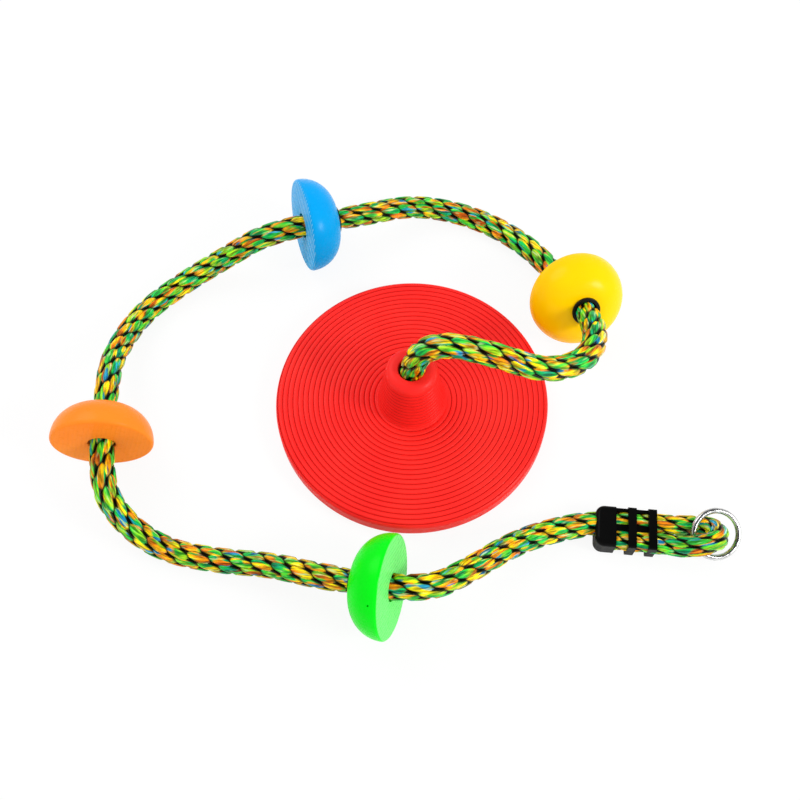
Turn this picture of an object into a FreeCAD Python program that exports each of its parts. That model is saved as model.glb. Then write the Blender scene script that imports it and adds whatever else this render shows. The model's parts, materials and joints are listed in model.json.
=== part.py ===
"""Climbing rope disc swing: a round seat on a plaited rope with four foot platforms,
a two-part rope clamp that closes the top eye, and a steel hanging ring.

The swing lies on the floor, as it is unpacked.  Millimetres, +Z up, the floor at z = 0.
Places are measured from the seat's own axis, and SEAT_AXIS shifts them to the part's
origin, which is the middle of the base of the box round the rigid pieces.
"""
import FreeCAD, Part
import math
import os

from FreeCAD import Placement, Rotation, Vector

# ---------------------------------------------------------------- driving dimensions
SEAT_AXIS = Vector(21.2, 4.7, 0.0)

# Rope
ROPE_D = 23.0
EYE_ROPE_D = 19.0            # the same rope where the clamp squeezes it and the eye is drawn tight
ARC_SHARE = 0.45             # share of the shorter run that each bend takes

# Seat
SEAT_R = 145.4
SEAT_T = 20.0                # thickness at the rim
SEAT_DISH = 2.0              # how far the top falls towards the hub
SEAT_EDGE_R = 5.0
SEAT_SKIN = 3.5
HUB_TOP_Z = 87.0
HUB_BASE_R = 36.0
HUB_TOP_R = 26.0
HUB_SHOULDER_R = 8.5
HUB_FOOT_R = 3.0
HUB_WEB_Z = 58.0             # underside of the web that the knot pulls against
HUB_WALL = 3.5
HUB_LIP_R = 1.5
ROPE_BORE_R = 13.5
GROOVE_PITCH = 5.45
GROOVE_W = 2.4
GROOVE_DEPTH = 0.7
HUB_RING_COUNT = 11
HUB_RING_START = 23.5        # height of the lowest ring groove
RIB_COUNT = 12
RIB_T = 2.6
RIB_RING_RADII = (72.0, 107.0)
RIB_LIFT = 1.0               # ribs stop this far above the floor

# Knot and washer under the hub
WASHER_R = 22.0
WASHER_T = 2.5
SEAT_GAP = 0.3               # clearance between pieces that seat on each other
KNOT_R = 23.0
KNOT_WRAPS = 3
KNOT_WRAP_H = 12.5
KNOT_BEVEL = 3.5
KNOT_TAIL = 11.0

# Foot platforms
PLATFORM_R = 51.4
PLATFORM_T = 38.1            # flat face to crown
PLATFORM_EDGE = 2.0          # bevel round the flat face
PLATFORM_WIDEST = 3.6        # height of the widest ring above the flat face
PLATFORM_WALL = 3.0
PLATFORM_HAUNCH = ((0.09, 0.42), (0.38, 0.73))  # hollow's corners, in and up, as shares of the dome's arc
PLATFORM_BORE_R = 13.7
VENT_R = 1.5
VENT_HEIGHT = 17.0

# Collets that hold the platforms
COLLET_L = 21.0              # how far it reaches into the platform
COLLET_MOUTH_R = 13.9
COLLET_TIP_R = 12.9
COLLET_BORE_R = 11.8
COLLET_FLANGE_R = 15.2
COLLET_FLANGE_T = 2.8
COLLET_EDGE_R = 0.8
COLLET_SPLIT = 0.5

# Rope clamp
CLAMP_END = Vector(179.5, -149.5, 0.0)      # middle of its rope-side end
CLAMP_TURN = -7.1                           # degrees about +Z
CLAMP_COLLAR_L = 20.2
CLAMP_BAND_L = 8.2
CLAMP_GAP_L = 12.0
CLAMP_W = 42.6
CLAMP_H = 27.6
CLAMP_SPLIT = 0.3            # parting between cap and base
CLAMP_NOSE_R = 9.0           # rounding of the collar's mouth end, seen from above
CLAMP_HOOD_R = 5.0           # rounding of the collar's top and bottom edges
CLAMP_ROUND = 3.0            # rounding of the bands
CLAMP_FIT = 0.3              # clearance round the rope's legs
CLAMP_LEG_OFFSET = 9.95      # leg to the clamp's middle
CLAMP_LEG_Z = 13.5
CLAMP_LEG_START = 6.0        # how far inside the collar's end the legs part
CLAMP_WAIST_H = 10.0         # height of the slot that joins the two bores
CLAMP_MOUTH_Y = 5.4          # how far off the middle the rope comes in
CLAMP_MOUTH_SLOPE = 0.22
CLAMP_MOUTH_L = 17.2
CLAMP_MOUTH_FLARE = 0.5
CLAMP_BAR_W = 8.0            # bar between the legs, under the bands
CLAMP_BAR_TOP = 22.0
CLAMP_KEEL_W = 10.0
CLAMP_RAIL_T = 3.4
CLAMP_RAIL_H = 9.2
CLAMP_RAIL_INSET = 1.0       # rail behind the bands' far side
CLAMP_SINK = 0.5             # how far bar, keel and rail run into the collar

# Hanging ring
RING_WIRE_D = 6.0
RING_MEAN_R = 23.5
RING_CENTRE = Vector(299.9, -160.8, 17.8)
RING_NORMAL = Vector(0.12, -0.42, 0.90)

# Where each platform stands: middle of its flat face in plan, then the direction
# from flat face to dome as a bearing from +X and a rise above level, in degrees.
PLATFORMS = {
    "yellow": (181.6, 106.6, -79.1, 34.1),
    "blue": (-116.0, 203.5, 16.1, -8.7),
    "orange": (-316.8, -57.0, 91.2, -0.9),
    "green": (-24.7, -214.7, 166.6, -11.0),
}
# Bearing of each platform's vent about its own axis, in degrees.
VENT_TURN = {"yellow": 200.0, "blue": 190.0, "orange": 170.0, "green": 52.0}

# The rope's route, corner by corner, from the knot to the tail in the clamp.
ROUTE_TO_CLAMP = [
    (0, 0, 55),
    (0, 0, 109),
    (27, 1, 138),
    (76, -12, 138),
    (132, -25, 118),
    (178, -4, 106),
    (193.5, 46, 83),
    (174.6, 140, 18.5),
    (139, 197, 12),
    (80, 238, 12),
    (12, 251, 20),
    (-46, 224, 41),
    (-152, 193, 57.3),
    (-205, 180, 28),
    (-254, 159, 12),
    (-300, 119, 12),
    (-319, 62, 30),
    (-318.5, 20, 50.5),
    (-316, -94, 52),
    (-297, -131, 30),
    (-255, -159, 12),
    (-195, -172, 12),
    (-145, -179, 19),
    (-95, -198, 38),
    (4, -221.5, 57.5),
    (50, -197, 41),
    (99, -164, 22),
    (150, -147.5, 13.5),
]
ROUTE_ROUND_EYE = [
    (204.8, -141.2, 13.5),
    (256, -149.2, 12.4),
    (301, -149.5, 9.9),
    (301, -171, 29),
    (270, -178, 28.5),
    (247.9, -168.1, 13.5),
    (198.3, -161.9, 13.5),
]
ROPE_STEP_AT = 0.52          # where along the run into the clamp the rope narrows


# ---------------------------------------------------------------- small helpers
def save(shape, node):
    """Write one sub-part, moved from the seat's axis to the part's origin."""
    placed = shape.copy()
    placed.translate(SEAT_AXIS)
    placed.exportStep("parts/%s.step" % node)
    print("%-18s solids %d  volume %9.0f mm3" % (node, len(placed.Solids), placed.Volume))


def line(start, end):
    return Part.LineSegment(start, end).toShape()


def arc(start, middle, end):
    return Part.Arc(start, middle, end).toShape()


def corner_directions(before, corner, after):
    """Unit directions back and ahead from a corner, and half the angle that it turns by."""
    back = before - corner
    ahead = after - corner
    back.normalize()
    ahead.normalize()
    return back, ahead, (math.pi - back.getAngle(ahead)) / 2


def tangent_arc(before, corner, after, radius):
    """Start, middle and end of the arc that rounds a corner."""
    back, ahead, half_turn = corner_directions(before, corner, after)
    reach = radius * math.tan(half_turn)
    inward = back + ahead
    inward.normalize()
    middle = corner + inward * (radius / math.cos(half_turn) - radius)
    return corner + back * reach, middle, corner + ahead * reach


def section(corners):
    """Closed outline in the XZ half plane from (radius, height) corners.
    A corner with a third number is rounded to that radius."""
    points = [Vector(corner[0], 0, corner[1]) for corner in corners]
    edges = []
    ends = []
    for index, corner in enumerate(corners):
        here = points[index]
        if len(corner) == 2:
            ends.append((here, here))
            continue
        after = points[(index + 1) % len(points)]
        start, middle, end = tangent_arc(points[index - 1], here, after, corner[2])
        edges.append(arc(start, middle, end))
        ends.append((start, end))
    for index, (start, _) in enumerate(ends):
        leave = ends[index - 1][1]
        if (start - leave).Length > 1e-6:
            edges.append(line(leave, start))
    return Part.Wire(Part.sortEdges(edges)[0])


def revolve(wire):
    return Part.Face(wire).revolve(Vector(0, 0, 0), Vector(0, 0, 1), 360)


def bearing(degrees, rise=0.0):
    flat = math.cos(math.radians(rise))
    return Vector(
        flat * math.cos(math.radians(degrees)),
        flat * math.sin(math.radians(degrees)),
        math.sin(math.radians(rise)),
    )


# ---------------------------------------------------------------- rope
def route_bends(points):
    """The arcs that round the route's corners, as (start, middle, end, radius)."""
    bends = []
    for before, corner, after in zip(points, points[1:], points[2:]):
        half_turn = corner_directions(before, corner, after)[2]
        shorter = min((before - corner).Length, (after - corner).Length)
        radius = ARC_SHARE * shorter / math.tan(half_turn)
        bends.append(tangent_arc(before, corner, after, radius) + (radius,))
    return bends


def route_path(start, bends, end):
    """Straight runs joined by the bends, as one wire."""
    edges = []
    here = start
    for bend_start, bend_middle, bend_end, _ in bends:
        edges.append(line(here, bend_start))
        edges.append(arc(bend_start, bend_middle, bend_end))
        here = bend_end
    edges.append(line(here, end))
    return Part.Wire(edges)


def rope_tube(start, bends, end, diameter):
    path = route_path(start, bends, end)
    direction = bends[0][0] - start
    circle = Part.Circle(start, direction, diameter / 2).toShape()
    solid = path.makePipeShell([Part.Wire([circle])], True, False)
    filled = solid.Volume / (math.pi * (diameter / 2) ** 2 * path.Length)
    print("rope length %.0f, volume over section x length %.4f" % (path.Length, filled))
    print("bend radii", " ".join("%.0f" % bend[3] for bend in bends))
    return solid


def make_rope():
    """One rope from knot to tail, thinner from the clamp's mouth onwards."""
    main = [Vector(*point) for point in ROUTE_TO_CLAMP]
    eye = [Vector(*point) for point in ROUTE_ROUND_EYE]
    step = main[-1] + (eye[0] - main[-1]) * ROPE_STEP_AT
    bends = route_bends(main + eye)
    turn = len(main) - 1
    thick = rope_tube(main[0], bends[:turn], step, ROPE_D)
    thin = rope_tube(step, bends[turn:], eye[-1], EYE_ROPE_D)
    return thick.fuse(thin)


def make_knot():
    """Stopper knot: wraps pulled tight under the washer, and the rope's cut end."""
    top = ROUTE_TO_CLAMP[0][2]
    waist = KNOT_R - KNOT_BEVEL
    corners = [(0, top), (waist, top)]
    for wrap in range(KNOT_WRAPS):
        wrap_top = top - KNOT_WRAP_H * wrap
        wrap_foot = wrap_top - KNOT_WRAP_H
        corners.append((KNOT_R, wrap_top - KNOT_BEVEL))
        corners.append((KNOT_R, wrap_foot + KNOT_BEVEL))
        corners.append((waist, wrap_foot))
    foot = top - KNOT_WRAP_H * KNOT_WRAPS
    corners.append((ROPE_D / 2, foot))
    corners.append((ROPE_D / 2, foot - KNOT_TAIL))
    corners.append((0, foot - KNOT_TAIL))
    return revolve(section(corners))


# ---------------------------------------------------------------- seat
def hub_radius(z):
    """Outside radius of the hub's cone at a height."""
    share = (z - SEAT_T) / (HUB_TOP_Z - SEAT_T)
    return HUB_BASE_R + (HUB_TOP_R - HUB_BASE_R) * share


def seat_skin():
    """The seat and hub as one turned moulding, open underneath."""
    foot_z = SEAT_T - SEAT_DISH
    return revolve(section([
        (ROPE_BORE_R, HUB_WEB_Z),
        (hub_radius(HUB_WEB_Z) - HUB_WALL, HUB_WEB_Z),
        (hub_radius(foot_z) - HUB_WALL, RIB_LIFT),
        (hub_radius(foot_z), RIB_LIFT),
        (hub_radius(foot_z), foot_z - SEAT_SKIN),
        (SEAT_R - SEAT_SKIN, SEAT_T - SEAT_SKIN),
        (SEAT_R - SEAT_SKIN, 0),
        (SEAT_R - SEAT_SKIN / 2, 0),
        (SEAT_R, SEAT_SKIN / 2),
        (SEAT_R, SEAT_T, SEAT_EDGE_R),
        (hub_radius(foot_z), foot_z, HUB_FOOT_R),
        (HUB_TOP_R, HUB_TOP_Z, HUB_SHOULDER_R),
        (ROPE_BORE_R, HUB_TOP_Z, HUB_LIP_R),
    ]))


def hub_rings():
    """The ring grooves up the side of the hub, as the cutters that make them."""
    rings = []
    half = GROOVE_W / 2
    for ring in range(HUB_RING_COUNT):
        z = HUB_RING_START + GROOVE_PITCH * ring
        rings.append(revolve(section([
            (hub_radius(z) - GROOVE_DEPTH, z),
            (hub_radius(z - half) + GROOVE_DEPTH, z - half),
            (hub_radius(z + half) + GROOVE_DEPTH, z + half),
        ])))
    return rings


def seat_ribs():
    """Radial ribs and ring ribs under the seat, between hub skirt and rim."""
    inner = HUB_BASE_R - HUB_WALL / 2
    outer = SEAT_R - SEAT_SKIN / 2
    ribs = []
    for turn in range(RIB_COUNT):
        rib = Part.makeBox(outer - inner, RIB_T, SEAT_T, Vector(inner, -RIB_T / 2, RIB_LIFT))
        rib.rotate(Vector(0, 0, 0), Vector(0, 0, 1), 360.0 * turn / RIB_COUNT)
        ribs.append(rib)
    for radius in RIB_RING_RADII:
        ribs.append(revolve(section([
            (radius - RIB_T / 2, RIB_LIFT),
            (radius + RIB_T / 2, RIB_LIFT),
            (radius + RIB_T / 2, SEAT_T),
            (radius - RIB_T / 2, SEAT_T),
        ])))
    return ribs


def make_seat():
    under_top = revolve(section([
        (HUB_BASE_R - HUB_WALL / 2, 0),
        (SEAT_R - SEAT_SKIN / 2, 0),
        (SEAT_R - SEAT_SKIN / 2, SEAT_T - SEAT_SKIN / 2),
        (HUB_BASE_R - HUB_WALL / 2, SEAT_T - SEAT_DISH - SEAT_SKIN / 2),
    ]))
    ribs = [rib.common(under_top) for rib in seat_ribs()]
    return seat_skin().cut(hub_rings()).fuse(ribs).removeSplitter()


def make_washer():
    top = HUB_WEB_Z - SEAT_GAP
    return revolve(section([
        (ROPE_BORE_R, top - WASHER_T),
        (WASHER_R, top - WASHER_T),
        (WASHER_R, top),
        (ROPE_BORE_R, top),
    ]))


# ---------------------------------------------------------------- foot platforms
def dome_middle(dome_r):
    """Centre of the quarter arc that the dome is turned from."""
    return Vector(PLATFORM_R - dome_r, 0, PLATFORM_WIDEST)


def platform_outline():
    """Outside of a platform, with the bore that its rope and collet run in."""
    dome_r = PLATFORM_T - PLATFORM_WIDEST
    middle = dome_middle(dome_r)
    widest = middle + Vector(dome_r, 0, 0)
    shoulder = middle + Vector(dome_r, 0, dome_r) * math.sin(math.pi / 4)
    crown = middle + Vector(0, 0, dome_r)
    seat_z = PLATFORM_T - COLLET_L - SEAT_GAP
    lip = Vector(COLLET_MOUTH_R + SEAT_GAP, 0, PLATFORM_T)
    tip = Vector(COLLET_TIP_R + SEAT_GAP, 0, seat_z)
    step = Vector(PLATFORM_BORE_R, 0, seat_z)
    flat_in = Vector(PLATFORM_BORE_R, 0, 0)
    flat_out = Vector(PLATFORM_R - PLATFORM_EDGE, 0, 0)
    side = Vector(PLATFORM_R, 0, PLATFORM_EDGE)
    return Part.Wire([
        line(flat_in, flat_out),
        line(flat_out, side),
        line(side, widest),
        arc(widest, shoulder, crown),
        line(crown, lip),
        line(lip, tip),
        line(tip, step),
        line(step, flat_in),
    ])


def platform_hollow():
    """The air space inside the blown wall, which thickens over the shoulder."""
    core = PLATFORM_BORE_R + PLATFORM_WALL
    inner_r = PLATFORM_R - PLATFORM_WALL
    top = PLATFORM_T - PLATFORM_WALL
    dome_r = PLATFORM_T - PLATFORM_WIDEST
    haunch = [(inner_r - dome_r * inset, PLATFORM_WIDEST + dome_r * rise)
              for inset, rise in PLATFORM_HAUNCH]
    return section([
        (core, PLATFORM_WALL),
        (inner_r - PLATFORM_EDGE, PLATFORM_WALL),
        (inner_r, PLATFORM_WALL + PLATFORM_EDGE),
        *haunch,
        (core + PLATFORM_WALL, top),
        (core, top),
    ])


def platform_body(name):
    body = revolve(platform_outline()).cut(revolve(platform_hollow()))
    out = bearing(VENT_TURN[name])
    start = Vector(0, 0, VENT_HEIGHT) + out * (PLATFORM_R - 4 * PLATFORM_WALL)
    vent = Part.makeCylinder(VENT_R, 5 * PLATFORM_WALL, start, out)
    return body.cut(vent)


def platform_placement(name):
    """Stand a platform on its lowest rim, its own +Z along the rope."""
    x, y, turn, rise = PLATFORMS[name]
    axis = bearing(turn, rise)
    level = math.cos(math.radians(rise))
    dome_r = PLATFORM_T - PLATFORM_WIDEST
    lean = math.radians(max(-rise, 0.0))
    lowest = dome_middle(dome_r) + Vector(dome_r * math.cos(lean), 0, dome_r * math.sin(lean))
    rings = [(lowest.x, lowest.z), (PLATFORM_R, PLATFORM_EDGE), (PLATFORM_R - PLATFORM_EDGE, 0.0)]
    lift = max(radius * level - height * axis.z for radius, height in rings)
    across = Vector(0, 0, 1).cross(axis)
    across.normalize()
    return Placement(Vector(x, y, lift), Rotation(across, axis.cross(across), axis, "ZYX"))


def collet_half(side):
    """Half of the split collet that grips the rope inside a platform's domed end."""
    tip_z = PLATFORM_T - COLLET_L
    flange_z = PLATFORM_T + SEAT_GAP
    ring = revolve(section([
        (COLLET_BORE_R, tip_z),
        (COLLET_TIP_R, tip_z),
        (COLLET_MOUTH_R, PLATFORM_T),
        (COLLET_MOUTH_R, flange_z),
        (COLLET_FLANGE_R, flange_z),
        (COLLET_FLANGE_R, flange_z + COLLET_FLANGE_T, COLLET_EDGE_R),
        (COLLET_BORE_R, flange_z + COLLET_FLANGE_T),
    ]))
    size = 3 * COLLET_FLANGE_R
    start = COLLET_SPLIT / 2 if side > 0 else -size - COLLET_SPLIT / 2
    keep = Part.makeBox(2 * size, size, 3 * COLLET_L, Vector(-size, start, 0))
    return ring.common(keep)


# ---------------------------------------------------------------- rope clamp
def clamp_collar():
    """The hooded collar at the mouth, rounded in plan and along its edges."""
    block = Part.makeBox(CLAMP_COLLAR_L, CLAMP_W, CLAMP_H, Vector(0, -CLAMP_W / 2, 0))
    upright = [edge for edge in block.Edges if edge.BoundBox.XMax < 0.01 and edge.BoundBox.ZLength > 1]
    block = block.makeFillet(CLAMP_NOSE_R, upright)
    outline = [edge for edge in block.Edges
               if edge.BoundBox.ZLength < 0.01 and edge.BoundBox.XMin < CLAMP_COLLAR_L - 0.01]
    return block.makeFillet(CLAMP_HOOD_R, outline)


def clamp_band(start):
    block = Part.makeBox(CLAMP_BAND_L, CLAMP_W, CLAMP_H, Vector(start, -CLAMP_W / 2, 0))
    along = [edge for edge in block.Edges if abs(edge.tangentAt(0).x) > 0.9]
    return block.makeFillet(CLAMP_ROUND, along)


def clamp_bar(length, width, foot, top, y=0.0):
    """A straight bar from the collar to the far band."""
    return Part.makeBox(length - CLAMP_COLLAR_L + CLAMP_SINK, width, top - foot,
                        Vector(CLAMP_COLLAR_L - CLAMP_SINK, y - width / 2, foot))


def clamp_rope_space(length):
    """Room for the two rope legs, the slot between them and the single rope at the mouth."""
    start = CLAMP_COLLAR_L - CLAMP_LEG_START
    bore = EYE_ROPE_D / 2 + CLAMP_FIT
    legs = []
    for side in (1, -1):
        foot = Vector(start, side * CLAMP_LEG_OFFSET, CLAMP_LEG_Z)
        legs.append(Part.makeCylinder(bore, length, foot, Vector(1, 0, 0)))
    slot = Part.makeBox(length, 2 * CLAMP_LEG_OFFSET, CLAMP_WAIST_H,
                        Vector(start, -CLAMP_LEG_OFFSET, CLAMP_LEG_Z - CLAMP_WAIST_H / 2))
    mouth = Part.makeCone(ROPE_D / 2 + CLAMP_MOUTH_FLARE, bore, CLAMP_MOUTH_L,
                          Vector(0, CLAMP_MOUTH_Y, CLAMP_LEG_Z), Vector(1, CLAMP_MOUTH_SLOPE, 0))
    return legs[0].fuse([legs[1], slot, mouth])


def make_clamp():
    """Cap and base of the rope clamp.  The cap has the bar and the far rail, the base a keel."""
    second = CLAMP_COLLAR_L + CLAMP_GAP_L
    third = second + CLAMP_BAND_L + CLAMP_GAP_L
    length = third + CLAMP_BAND_L
    body = clamp_collar().fuse([clamp_band(second), clamp_band(third)])
    parting = CLAMP_H / 2
    rail_y = CLAMP_W / 2 - CLAMP_RAIL_INSET - CLAMP_RAIL_T / 2
    rail_foot = parting + CLAMP_SPLIT / 2
    rail = clamp_bar(length, CLAMP_RAIL_T, rail_foot, rail_foot + CLAMP_RAIL_H, rail_y)
    bar = clamp_bar(length, CLAMP_BAR_W, CLAMP_LEG_Z + CLAMP_WAIST_H / 2, CLAMP_BAR_TOP)
    keel = clamp_bar(length, CLAMP_KEEL_W, 0, CLAMP_LEG_Z - CLAMP_WAIST_H / 2)
    space = clamp_rope_space(length)
    corner = Vector(-length / 2, -length, 0)
    low = Part.makeBox(2 * length, 2 * length, parting - CLAMP_SPLIT / 2, corner)
    high = Part.makeBox(2 * length, 2 * length, parting, corner + Vector(0, 0, parting + CLAMP_SPLIT / 2))
    cap = body.fuse([rail, bar]).cut(space).common(high)
    base = body.fuse(keel).cut(space).common(low)
    place = Placement(CLAMP_END, Rotation(Vector(0, 0, 1), CLAMP_TURN))
    for half in (cap, base):
        half.Placement = place
    return cap, base


# ---------------------------------------------------------------- hanging ring
def make_ring():
    return Part.makeTorus(RING_MEAN_R, RING_WIRE_D / 2, RING_CENTRE, RING_NORMAL)


# ---------------------------------------------------------------- the swing
def main():
    os.makedirs("parts", exist_ok=True)
    save(make_seat(), "seat_disc")
    save(make_washer(), "seat_washer")
    save(make_knot(), "seat_knot")
    save(make_rope(), "rope")
    for name in PLATFORMS:
        place = platform_placement(name)
        body = platform_body(name)
        body.Placement = place
        save(body, "platform_" + name)
        for side, label in ((1, "a"), (-1, "b")):
            half = collet_half(side)
            half.Placement = place
            save(half, "collet_%s_%s" % (name, label))
    cap, base = make_clamp()
    save(cap, "clamp_cap")
    save(base, "clamp_base")
    save(make_ring(), "hanging_ring")


main()
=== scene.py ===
"""Climbing rope disc swing, dressed: grooved red seat, braided rope, foot platforms, clamp and ring.

Metres, +Z up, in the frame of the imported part.  Places along the rope are measured from the
seat's own axis, which SEAT_AXIS puts in the frame.
"""
import json
import math

import bpy
import numpy as np
from mathutils import Matrix, Vector


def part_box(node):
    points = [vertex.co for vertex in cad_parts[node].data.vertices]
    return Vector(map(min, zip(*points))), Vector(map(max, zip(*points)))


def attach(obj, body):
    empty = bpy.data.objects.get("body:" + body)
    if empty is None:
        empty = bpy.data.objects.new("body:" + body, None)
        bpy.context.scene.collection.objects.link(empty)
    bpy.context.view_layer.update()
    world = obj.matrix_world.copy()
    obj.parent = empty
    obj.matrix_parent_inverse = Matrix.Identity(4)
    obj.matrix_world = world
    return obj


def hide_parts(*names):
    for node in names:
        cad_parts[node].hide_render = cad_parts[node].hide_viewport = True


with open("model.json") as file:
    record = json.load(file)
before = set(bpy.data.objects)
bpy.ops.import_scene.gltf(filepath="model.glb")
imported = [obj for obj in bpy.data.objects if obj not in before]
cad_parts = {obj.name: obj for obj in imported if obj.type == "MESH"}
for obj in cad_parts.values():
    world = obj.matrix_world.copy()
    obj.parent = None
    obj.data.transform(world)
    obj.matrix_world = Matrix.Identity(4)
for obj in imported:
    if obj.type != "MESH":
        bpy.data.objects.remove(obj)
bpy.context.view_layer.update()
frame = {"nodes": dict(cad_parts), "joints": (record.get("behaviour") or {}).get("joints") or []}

# ---------------------------------------------------------------- sizes shared with the part
SEAT_LOW, SEAT_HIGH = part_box("seat_disc")
SEAT_AXIS = Vector(((SEAT_LOW[0] + SEAT_HIGH[0]) / 2, (SEAT_LOW[1] + SEAT_HIGH[1]) / 2, 0))
SEAT_R = (SEAT_HIGH[0] - SEAT_LOW[0]) / 2
SEAT_T = 0.0200
SEAT_DISH = 0.0020
SEAT_EDGE_R = 0.0050
SEAT_SKIN = 0.0035
HUB_TOP_Z = SEAT_HIGH[2]
HUB_BASE_R = 0.0360
HUB_TOP_R = 0.0260
HUB_SHOULDER_R = 0.0085
HUB_FOOT_R = 0.0012
HUB_LIP_R = 0.0015
HUB_WEB_Z = 0.0580
HUB_WALL = 0.0035
ROPE_BORE_R = 0.0135
GROOVE_PITCH = 0.00545
GROOVE_DEPTH = 0.0010
RIB_COUNT = 12
RIB_T = 0.0026
RIB_RING_RADII = (0.072, 0.107)
RIB_LIFT = 0.0010

PLATFORM_R = 0.0514
PLATFORM_T = 0.0381
PLATFORM_WIDEST = 0.0036
PLATFORM_BORE_R = 0.0137
COLLET_L = 0.0210
COLLET_SEAT_R = 0.0132
COLLET_LIP_R = 0.0142
COLLET_LIP_EDGE = 0.0005
COLLET_REST_GAP = 0.0003
BORE_EDGE_R = 0.0010
BORE_SEAM_Z = 0.0030          # the turned section starts and ends here, inside the bore
PLATFORM_EDGE_R = 0.0032
DOME_STEPS = 28
VENT_R = 0.0010
VENT_HEIGHT = 0.0085
VENT_DRILL_L = 0.012
PLATFORM_SHEEN = 0.09
FACE_SHEEN = 0.02
FACE_DEPTH = 0.0006           # what lies this near the flat face's plane is part of the face
FACE_LINE_PITCH = 0.0044      # moulded lines across a platform's flat face
FACE_LINE_TURN = {            # way the lines run, from the face's level direction
    "yellow": math.radians(45),
    "blue": math.radians(98),
    "orange": math.radians(110),
    "green": math.radians(42),
}
VENT_TURN = {
    "yellow": math.radians(270),
    "blue": math.radians(270),
    "orange": math.radians(270),
    "green": math.radians(52),
}

# The rope's route from the knot to the tail in the clamp, corner by corner, from the seat's axis.
ROUTE = [
    (0, 0, 0.055),
    (0, 0, 0.109),
    (0.027, 0.001, 0.138),
    (0.076, -0.012, 0.138),
    (0.132, -0.025, 0.118),
    (0.178, -0.004, 0.106),
    (0.1935, 0.046, 0.083),
    (0.1746, 0.140, 0.0185),
    (0.139, 0.197, 0.012),
    (0.080, 0.238, 0.012),
    (0.012, 0.251, 0.020),
    (-0.046, 0.224, 0.041),
    (-0.152, 0.193, 0.0573),
    (-0.205, 0.180, 0.028),
    (-0.254, 0.159, 0.012),
    (-0.300, 0.119, 0.012),
    (-0.319, 0.062, 0.030),
    (-0.3185, 0.020, 0.0505),
    (-0.316, -0.094, 0.052),
    (-0.297, -0.131, 0.030),
    (-0.255, -0.159, 0.012),
    (-0.195, -0.172, 0.012),
    (-0.145, -0.179, 0.019),
    (-0.095, -0.198, 0.038),
    (0.004, -0.2215, 0.0575),
    (0.050, -0.197, 0.041),
    (0.099, -0.164, 0.022),
    (0.150, -0.1475, 0.0135),
    (0.2048, -0.1412, 0.0135),
    (0.256, -0.1492, 0.0124),
    (0.301, -0.1495, 0.0099),
    (0.301, -0.171, 0.029),
    (0.270, -0.178, 0.0285),
    (0.2479, -0.1681, 0.0135),
    (0.1983, -0.1619, 0.0135),
]
ROPE_STEP = 0.0024
ROPE_SURFACE_R = 0.0126      # over the crowns of the stitches
CLAMP_MOUTH_X = 0.178        # the rope narrows here, where the clamp takes it
CLAMP_SIDE_Y = -0.10         # and only where it lies past this, on the clamp's side of the seat
CLAMP_SQUEEZE = 0.16
CLAMP_EASE_STEPS = 12.0
COLLET_SQUEEZE = 0.13
COLLET_SQUEEZE_RUN = 0.014
KNOT_WRAP_R = 0.0072
KNOT_PITCH = 0.0125
KNOT_TURNS = 2.0
KNOT_STUB_GIRTH = 0.86
KNOT_STUB_START = 0.010      # below the knot's top
KNOT_POINTS = 160            # along the wraps
STUB_POINTS = 30
FILAMENT_SLANT = 12.0        # turns round the strand per metre, against the strand's own lay


# ---------------------------------------------------------------- camera
def camera():
    lens_mm = 46.23
    place = Vector((0.0087, -0.4715, 1.0080))
    down = math.radians(64.38)
    roll = math.radians(-1.73)
    right = Vector((1, 0, 0))
    up = Vector((0, math.sin(down), math.cos(down)))
    back = Vector((0, -math.cos(down), math.sin(down)))
    turned_right = right * math.cos(roll) + up * math.sin(roll)
    turned_up = up * math.cos(roll) - right * math.sin(roll)
    data = bpy.data.cameras.new("camera")
    data.lens = lens_mm
    data.sensor_width = 36
    data.clip_start = 0.01
    data.clip_end = 50
    obj = bpy.data.objects.new("camera", data)
    bpy.context.collection.objects.link(obj)
    axes = Matrix((turned_right, turned_up, back)).transposed().to_4x4()
    obj.matrix_world = Matrix.Translation(place) @ axes
    bpy.context.scene.camera = obj


# ---------------------------------------------------------------- material helpers
def new_material(name):
    material = bpy.data.materials.new(name)
    material.use_nodes = True
    return material, material.node_tree.nodes, material.node_tree.links


def shader_of(nodes):
    return nodes["Principled BSDF"]


def ramp_node(nodes, stops):
    ramp = nodes.new("ShaderNodeValToRGB")
    elements = ramp.color_ramp.elements
    while len(elements) > 1:
        elements.remove(elements[-1])
    elements[0].position = stops[0][0]
    elements[0].color = (*stops[0][1], 1)
    for place, colour in stops[1:]:
        elements.new(place).color = (*colour, 1)
    return ramp


def grey(value):
    return (value, value, value)


WHITE = grey(1.0)


def object_noise(nodes, links, scale, detail=4, stretch=(1, 1, 1)):
    """Noise on the piece's own coordinates."""
    coords = nodes.new("ShaderNodeTexCoord")
    mapping = nodes.new("ShaderNodeMapping")
    mapping.inputs["Scale"].default_value = stretch
    noise = nodes.new("ShaderNodeTexNoise")
    noise.inputs["Scale"].default_value = scale
    noise.inputs["Detail"].default_value = detail
    links.new(coords.outputs["Object"], mapping.inputs["Vector"])
    links.new(mapping.outputs["Vector"], noise.inputs["Vector"])
    return noise


def maths(nodes, links, operation, *values):
    """One maths step on sockets and plain numbers."""
    node = nodes.new("ShaderNodeMath")
    node.operation = operation
    for socket, value in zip(node.inputs, values):
        if isinstance(value, float):
            socket.default_value = value
        else:
            links.new(value, socket)
    return node.outputs["Value"]


def blended(nodes, links, first, second, share):
    """The first colour turned into the second where the share is high."""
    mix = nodes.new("ShaderNodeMixRGB")
    links.new(share, mix.inputs["Fac"])
    links.new(first, mix.inputs["Color1"])
    links.new(second, mix.inputs["Color2"])
    return mix.outputs["Color"]


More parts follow.
